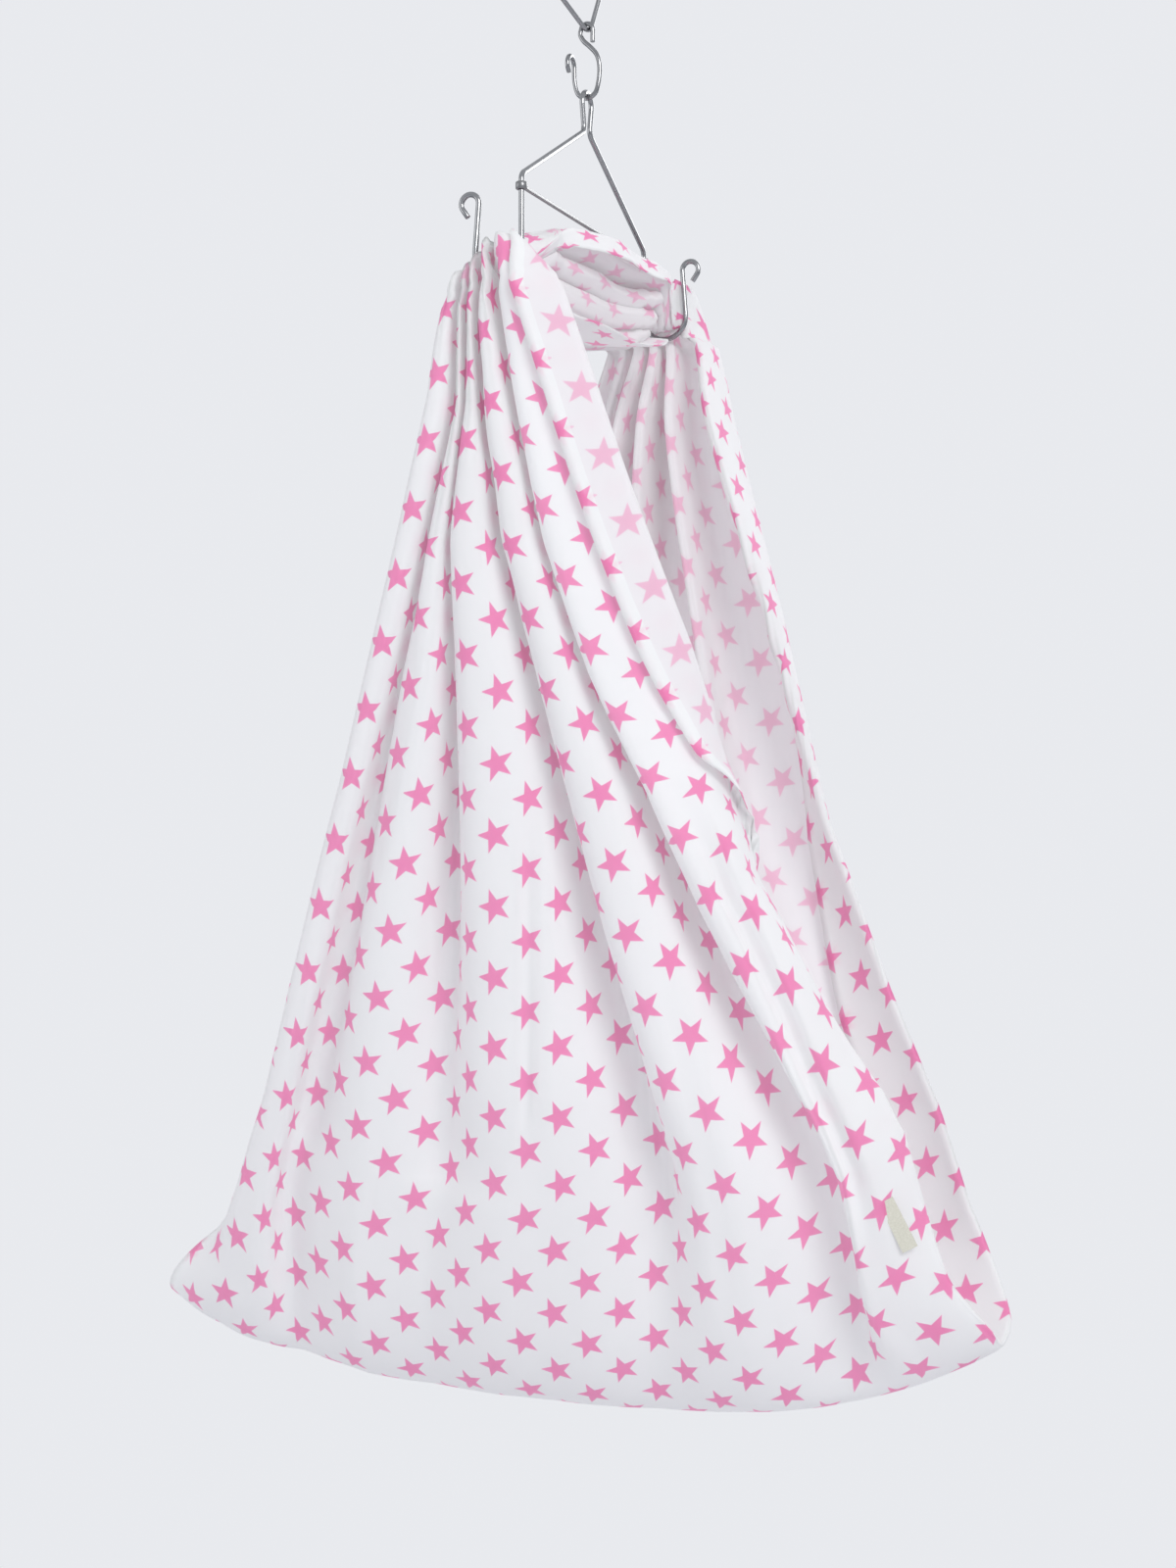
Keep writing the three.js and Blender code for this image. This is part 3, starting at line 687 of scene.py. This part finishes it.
# %% The width of each row
NEAR_FACE, FAR_FACE = 0.93, 0.45   # how flat the last pipe's front is
SLACK = 0.35                       # the share of its flatness that the near front loses at the flap's end
SLACK_REACH = 0.10                 # and over which share of the fall
UNEVEN = 0.09                      # how strong the ripple is, in radians
BRIDGE_UNEVEN = 0.20               # and how much stronger on the bridge
SLACKEST, TIGHTEST = 0.02, 80.0
ROW_HALVINGS = 30


def row_curve(s, side):
    """The folded row: its places across and outwards from the ridges' line."""
    row = Row(s, side)
    over = smooth_step(HOOK_Y, HOOK_Y + TURN, s)
    slack = SLACK * math.exp(-(((row.q - FLAP_TO) / SLACK_REACH) ** 2))
    face = (NEAR_FACE * (1 - slack) if side < 0 else FAR_FACE) * over
    uneven = (UNEVEN + BRIDGE_UNEVEN * row.lying) * ripple(row) * (1 - 0.3 * row.q)
    place, angle = margin_turn(row)
    lengths = pipe_lengths(row, place)
    low = np.full(len(row.ridges), SLACKEST)
    high = np.full(len(row.ridges), TIGHTEST)
    for _ in range(ROW_HALVINGS):
        tightness = np.sqrt(low * high)
        direction = pipes(row, tightness, face) + aim(row, face) + uneven + tucks(row)
        wide = lengths @ np.cos(direction) > row.rooms
        low = np.where(wide, tightness, low)
        high = np.where(wide, high, tightness)
    direction = fold_margin(direction, place, angle)
    across = np.concatenate([[0], np.cumsum(np.cos(direction) * step_c)])
    outward = np.concatenate([[0], np.cumsum(np.sin(direction) * step_c)])
    if s > HOOK_Y + TURN:
        across = across - row.half - across.min()
    else:
        across = across - (across.max() + across.min()) / 2
    level = np.interp(grid_c, row.ridges, np.interp(row.ridges, grid_c, outward))
    return across, outward - level, row.q, row.half, row.middle


seat_across = row_curve(HALF_LOOP, -1.0)[0]
print("seat row", round(float(seat_across.max() - seat_across.min()), 3), "m across")

# %% [markdown]
# ## From rows to a surface
# Each row is set on the loop's line, x along the cradle and n outwards. In the hooks the folds' depth has
# to fit the bundle, and on the bridge the whole stack of folds lies over on its side, so that its inner
# edges face right. There, and where a bundle leaves its hook, a row that is still too wide is pressed
# into its room. That is a plain scaling, and no fold of real cloth.

# %% Rows on the bridge, and rows that hang
LAID_OVER = math.radians(90)
RIDGE_OUT = 22 * MM                # the ridges' line outside the loop's line, on the panels
SEAT_OUT = 10 * MM                 # and at the seat
BRIDGE_DEEPER = 0.06               # metres that the folds may be deeper than a bundle, amid the bridge
PANEL_DEEPER = 0.35                # and on the panels
DEEPER_OVER = 0.24                 # the length of panel over which they get there


def depth_limit(s, high):
    """How far in from the ridges the folds may reach, where the bundle is this high."""
    if s < HOOK_Y:
        return high + BRIDGE_DEEPER * (1 - smooth_step(0.2, 0.85, s / HOOK_Y))
    return high + PANEL_DEEPER * smooth_step(HOOK_Y + TURN, HOOK_Y + TURN + DEEPER_OVER, s)


def pressed(values, room):
    """The values about their middle, made smaller where they would take more than the room."""
    return (values - (values.max() + values.min()) / 2) * min(1, room / (values.max() - values.min()))


def bridge_row(s, across, outward, half, high, base):
    """x and n of a row of the bridge: a stack of folds on its side, pressed into its room."""
    lie = LAID_OVER * (1 - smooth_step(0.6, 0.97, s / HOOK_Y))
    level = outward - outward.min() / 2
    thick = 2 * float(np.interp(s / HOOK_Y, THICK_AT, HALF_THICKS)) * MM
    room = 2 * half + (high - 2 * half) * smooth_step(0.8, 1.0, s / HOOK_Y)
    x = pressed(across * math.cos(lie) - level * math.sin(lie), thick)
    n = pressed(across * math.sin(lie) + level * math.cos(lie), room)
    return x, n + (base - high / 2) * smooth_step(0.3, 1.0, s / HOOK_Y)


def hanging_row(s, q, across, outward, half, base):
    """x and n of a row that hangs: as narrow as the hook at first, and free past the turn."""
    narrow = min(1, 2 * half / (across.max() - across.min()))
    x = across * (1 + (narrow - 1) * (1 - smooth_step(HOOK_Y + 0.4 * TURN, HOOK_Y + TURN, s)))
    ridge_out = base + (RIDGE_OUT - base) * smooth_step(0, 0.2, q)
    return x, outward + ridge_out + (SEAT_OUT - ridge_out) * smooth_step(0.6, 1.0, q)


# %% [markdown]
# ## Over the hooks
# The bend of a hook is round, so the underside of a bundle is raised towards its sides, and a little all
# over, to lie on the wire and not in it. The near bundle is also thinner towards its left, where its top
# slopes down to the open leg, and its left part has slid some way down its panel.

# %% Bundles in their hooks
HOOK_REACH = 0.02                  # how far along the loop a hook shapes the cloth, in metres
CUP_REACH = 15 * MM                # how far across it does so
NEAR_RAISED, FAR_RAISED = 6.0 * MM, 2.5 * MM
THINNED = 0.6                      # the share of its height that the near bundle loses at its left
SLID = 14 * MM                     # how far its left part has slid
SLID_REACH = 0.12                  # and over which length of panel that fades


def raised(s, side, x, n, high, base):
    """n with the bundle's underside raised to the hook's round bend."""
    near_hook = np.exp(-(((s - HOOK_Y) / HOOK_REACH) ** 2))
    inside = np.clip(np.abs(x), 0, CUP_REACH)
    bore = HOOK_X - WIRE / 2
    cup = bore - np.sqrt(bore**2 - inside**2)
    low_share = np.clip((base - n) / high, 0, 1)
    return n + near_hook * (cup + (FAR_RAISED if side > 0 else NEAR_RAISED)) * low_share


def thinned(s, share, n, high, base):
    """n with the near bundle thinner towards its left."""
    fade = math.exp(-(((s - HOOK_Y - 0.2 * TURN) / (0.45 * TURN)) ** 2))
    return n - THINNED * fade * smooth_step(0.2, -0.9, share) * np.clip(n - (base - high), 0, None)


def seat_lift(s, side, q, share):
    """How much higher than the loop's line a row's places are: the seat's ends, less what has slid."""
    lift = np.where(share < 0, LEFT_LIFT, RIGHT_LIFT) * np.abs(share) ** 3 * max(q, 0)
    if side < 0 and s > HOOK_Y:
        slid = smooth_step(HOOK_Y, HOOK_Y + 0.6 * TURN, s) * math.exp(-max(s - HOOK_Y - TURN, 0) / SLID_REACH)
        lift = lift - SLID * slid * smooth_step(-0.1, -1.0, share)
    return lift


# %% Place a row
def row_points(s, side):
    """The places in space of one row across the cloth."""
    across, outward, q, half, middle = row_curve(s, side)
    y, z, out_y, out_z = loop_line(s)
    high = NEAR_BUNDLE if side < 0 else FAR_BUNDLE
    base = high / 2 - (MIDDLE_RADIUS - WIRE / 2 - high / 2)
    limit = depth_limit(s, high)
    outward = np.where(outward < 0, -limit * np.tanh(-outward / limit), outward)
    if s < HOOK_Y:
        x, n = bridge_row(s, across, outward, half, high, base)
    else:
        x, n = hanging_row(s, q, across, outward, half, base)
    n = raised(s, side, x, n, high, base)
    share = x / half
    if side < 0:
        n = thinned(s, share, n, high, base)
    points = np.empty((len(x), 3))
    points[:, 0] = middle + x
    points[:, 1] = side * (y + out_y * n)
    points[:, 2] = z + out_z * n + seat_lift(s, side, q, share)
    return points


# %% Rows of both sides
BRIDGE_ROWS, TURN_ROWS, PANEL_ROWS = 27, 13, 126
EVEN_STEPS, LONGER_STEPS = 0.72, 0.28
SHARED_ROWS = 14                   # rows by the seat and the bridge where the sides run together


def loop_rows():
    """Lengths along the loop: short steps over the hooks, longer ones down the panels."""
    bridge = np.linspace(0, HOOK_Y, BRIDGE_ROWS)
    turn = np.linspace(HOOK_Y, HOOK_Y + TURN, TURN_ROWS)[1:]
    share = np.linspace(0, 1, PANEL_ROWS)[1:]
    panel = HOOK_Y + TURN + PANEL * (EVEN_STEPS * share + LONGER_STEPS * share**2)
    return np.concatenate([bridge, turn, panel])


def blended(rows, others):
    """Near the seat and the bridge the two sides' shapes run into one another."""
    mixed = [row.copy() for row in rows]
    other_side = np.array([1, -1, 1])
    blend = smooth_step(0, SHARED_ROWS, np.arange(SHARED_ROWS) + 0.0)
    for i in range(SHARED_ROWS):
        weight = 0.5 - 0.5 * blend[i]
        for index in (i, len(rows) - 1 - i):
            mixed[index] = rows[index] * (1 - weight) + others[index] * other_side * weight
    return mixed


half_rows = loop_rows()
far_points = [row_points(s, 1.0) for s in half_rows]
near_points = [row_points(s, -1.0) for s in half_rows]
far_points, near_points = blended(far_points, near_points), blended(near_points, far_points)
surface = np.array(list(reversed(near_points)) + far_points[1:-1])
lengths = np.concatenate([-half_rows[::-1], half_rows[1:-1]])
print("rows", len(surface), "columns", GRID_COLUMNS)

# %% How much of its width each part keeps
kept = np.linalg.norm(np.diff(surface, axis=1), axis=2).sum(axis=1) / WIDTH
apart = np.abs(lengths)
over_hooks = (apart >= HOOK_Y) & (apart <= HOOK_Y + TURN)
parts = {"bridge": apart < HOOK_Y, "hooks": over_hooks, "panels": apart > HOOK_Y + TURN}
for part, rows in parts.items():
    shares = (kept[rows].min(), kept[rows].max(), kept[rows].mean())
    least, most, mean = (round(float(share), 2) for share in shares)
    print(part, "keep", least, "to", most, "of the width,", mean, "in the mean")

# %% [markdown]
# ## The mesh
# The grid of rows and columns becomes a mesh that closes on itself round the loop. Its UV map is the
# flat cloth in metres, so the print and the weave follow every fold.


# %% Build the cloth
def cloth_mesh(name, grid, along):
    """A mesh of the grid's points, with the flat cloth as its UV map."""
    count = len(grid)
    mesh = bpy.data.meshes.new(name)
    row = np.arange(count)
    col = np.arange(GRID_COLUMNS - 1)
    a = (row[:, None] * GRID_COLUMNS + col[None, :]).ravel()
    b = (((row[:, None] + 1) % count) * GRID_COLUMNS + col[None, :]).ravel()
    faces = np.stack([a, a + 1, b + 1, b], axis=1)
    mesh.from_pydata(grid.reshape(-1, 3).tolist(), [], faces.tolist())
    ends = np.append(along, along[0] + 2 * HALF_LOOP)
    uv = np.empty((count, GRID_COLUMNS - 1, 4, 2))
    uv[:, :, 0, 0] = uv[:, :, 3, 0] = grid_c[:-1] * COLUMN
    uv[:, :, 1, 0] = uv[:, :, 2, 0] = grid_c[1:] * COLUMN
    uv[:, :, 0, 1] = uv[:, :, 1, 1] = ends[:-1, None]
    uv[:, :, 2, 1] = uv[:, :, 3, 1] = ends[1:, None]
    mesh.uv_layers.new(name="flat").data.foreach_set("uv", uv.ravel())
    mesh.polygons.foreach_set("use_smooth", [True] * len(mesh.polygons))
    mesh.validate()
    return mesh


cloth_data = cloth_mesh("cloth", surface, lengths)
cloth = bpy.data.objects.new("cotton_cradle", cloth_data)
scene.collection.objects.link(cloth)
print("cloth faces", len(cloth_data.polygons))

# %% [markdown]
# ## Printed cotton
# The stars lie in straight columns, every other column half a step down. A star is where five straight
# edges agree, so one formula gives it: fold the angle round the centre into a tenth of a turn, and test
# which side of the star's edge the place is on. The inside shows the print only faintly, except on the
# hem, which is folded over to the inside.

# %% Star print
STAR_STEP = 59.5 * MM              # between two stars of a column
STAR_RADIUS = 15.8 * MM
STAR_WAIST = 0.40                  # inner corners, as a share of the radius
INK_EDGE = 0.5 * MM                # how soft the print's edge is
PINK = rgb(0.960, 0.420, 0.690)
WHITE = rgb(0.955, 0.970, 0.965)
PALE = rgb(0.930, 0.928, 0.932)
FAINT = rgb(0.935, 0.785, 0.860)


def star(u, v):
    """1 inside a star and 0 outside, for the nearest star of the lattice."""
    column = (u / COLUMN).math("ROUND")
    odd = column.math("FLOORED_MODULO", 2.0)
    du = u - column * COLUMN
    raised_v = v / STAR_STEP - odd * 0.5
    dv = (raised_v - raised_v.math("ROUND")) * STAR_STEP
    turn = dv.math("ARCTAN2", du * -1.0)
    tenth = math.pi / 5
    folded = (turn.math("FLOORED_MODULO", 2 * tenth) - tenth).math("ABSOLUTE")
    bent = tenth - folded
    distance = (du * du + dv * dv).math("SQRT")
    inner = STAR_WAIST * STAR_RADIUS
    edge_x, edge_y = inner * math.cos(tenth) - STAR_RADIUS, inner * math.sin(tenth)
    size = math.hypot(edge_x, edge_y)
    normal_x, normal_y = edge_y / size, -edge_x / size
    over = distance * bent.math("COSINE") * normal_x + distance * bent.math("SINE") * normal_y
    beyond = over - STAR_RADIUS * normal_x
    return (0.5 - beyond / INK_EDGE).math("MINIMUM", 1.0).math("MAXIMUM", 0.0)


# %% [markdown]
# ## Thin cloth in the light
# Cotton this thin lets light through and scatters it, so its creases stay bright. A share of translucence
# gives the light that passes, and a faint glow of the cloth's own colour stands in for light that is
# scattered many times. Both are chosen. Slubs are thicker threads here and there, and come from a
# noise that is stretched along the threads.

# %% Cotton
HEM = 12 * MM
THREAD = 0.55 * MM                 # the pitch of the weave
THROUGH = 0.42                     # the share of light that passes
THROUGH_TINT = rgb(0.985, 0.972, 0.978)
# painted light: the cloth glows faintly in its own colour, which lifts the shade in its creases
PAINTED_GLOW = 0.10
WORN = rgb(0.86, 0.87, 0.87)


def cotton(name, inside):
    """The printed cloth, as its outside or its inside shows it."""
    tree = Tree(bpy.data.materials.new(name))
    flat = tree.node("ShaderNodeUVMap", {"uv_map": "flat"})[0]
    places = tree.node("ShaderNodeSeparateXYZ", {}, {0: flat})
    u, v = places[0], places[1]
    on_hem = (u.math("GREATER_THAN", WIDTH - HEM) + u.math("LESS_THAN", HEM)).math("MINIMUM", 1.0)
    drawn_out = tree.node("ShaderNodeCombineXYZ", {}, {0: u * 40.0, 1: v * 600.0})[0]
    slub = tree.noise(drawn_out, scale=1.0, detail=3.0)
    cloudy = tree.noise(flat, scale=14.0)
    ink = star(u, v)
    if inside:
        hem_print = tree.mix(star(2 * WIDTH - u, v), WHITE, PINK)
        colour = tree.mix(on_hem, tree.mix(ink, PALE, FAINT), hem_print)
    else:
        colour = tree.mix(ink, WHITE, PINK)
    worn = tree.mix(slub * 0.05 + cloudy * 0.04, colour, WORN)
    pitch = 2 * math.pi / THREAD
    weave = (u * pitch).math("SINE") * (v * pitch).math("SINE")
    height = weave * 0.5 + slub
    bump = tree.node("ShaderNodeBump", {}, {"Strength": 0.25, "Distance": 0.00012, "Height": height})
    return tree.shade(
        through=(THROUGH, THROUGH_TINT), base_color=worn, roughness=0.82 + slub * 0.1, normal=bump[0],
        sheen_weight=0.15, sheen_roughness=0.5, specular_ior_level=0.2,
        # painted light: a faint glow of the cloth's own colour brightens its creases
        emission_color=worn, emission_strength=PAINTED_GLOW,
    )


cloth_data.materials.append(cotton("printed cotton", False))
cloth_data.materials.append(cotton("cotton inside", True))
print("cotton with stars", round(2 * STAR_RADIUS / MM, 1), "mm across")

# %% Give the cloth its thickness
THICKNESS = 0.6 * MM
shell = cloth.modifiers.new("thickness", "SOLIDIFY")
shell.thickness = THICKNESS
shell.offset = -1.0
shell.use_quality_normals = True
shell.material_offset = 1
shell.material_offset_rim = 0
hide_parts("cradle_cloth")
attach(cloth, "hanger")
2 * HALF_LOOP
print("cloth", THICKNESS / MM, "mm thick")

# %% [markdown]
# ## Label
# A small bare woven tape is sewn inside the near panel beside its hem. Its shape comes from the frame, and
# here it only gets its finish: an off-white that is a little uneven, as woven tape is.

# %% Label
label_tree = Tree(bpy.data.materials.new("woven tape"))
label_place = label_tree.node("ShaderNodeTexCoord")["Object"]
label_yarn = label_tree.noise(label_place, scale=700.0)
label_colour = label_tree.mix(label_yarn, rgb(0.80, 0.79, 0.72), rgb(0.90, 0.89, 0.84))
nodes["cloth_label"].data.materials.clear()
nodes["cloth_label"].data.materials.append(label_tree.shade(base_color=label_colour, roughness=0.85))
print("label", len(nodes["cloth_label"].data.polygons), "faces")
